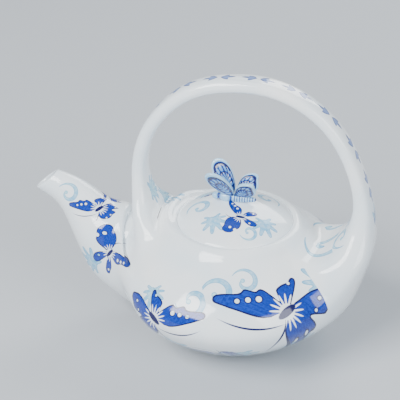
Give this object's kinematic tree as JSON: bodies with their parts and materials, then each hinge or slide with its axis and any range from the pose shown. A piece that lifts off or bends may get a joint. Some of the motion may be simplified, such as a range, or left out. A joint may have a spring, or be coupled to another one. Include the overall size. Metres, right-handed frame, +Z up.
{
  "type": "porcelain teapot",
  "caption": "Low round porcelain teapot with a swept spout, a hoop handle arching over the lid, and a lift-off lid with a butterfly knob, painted in cobalt blue.",
  "frame": {"origin": "centre of the foot ring, on the surface the pot stands on", "axes": "+Z up along the bowl's and lid's axis; -X towards the spout's lip; the hoop handle stands in the XZ plane"},
  "size_m": [0.2289, 0.1587, 0.1858],
  "materials": {
    "body_glaze": "clear glaze over cobalt underglaze painting",
    "lid_glaze": "clear glaze over cobalt underglaze painting",
    "blue_glaze": "light blue wash with darker lines under clear glaze",
    "biscuit_foot": "unglazed, ground"
  },
  "bodies": {
    "pot": {"foot_ring": "biscuit_foot", "bowl": "body_glaze", "strainer": "body_glaze", "collar": "body_glaze", "spout": "body_glaze", "handle": "body_glaze"},
    "lid": {"lid_dome": "lid_glaze", "lid_flange": "lid_glaze", "butterfly_body": "blue_glaze", "forewing_front": "blue_glaze", "forewing_back": "blue_glaze", "hindwing_front": "blue_glaze", "hindwing_back": "blue_glaze"}
  },
  "joints": [
    {"name": "lid_lift", "type": "slide", "parent": "pot", "child": "lid", "axis": [0, 0, 1], "range_m": [0, 0.038]}
  ]
}
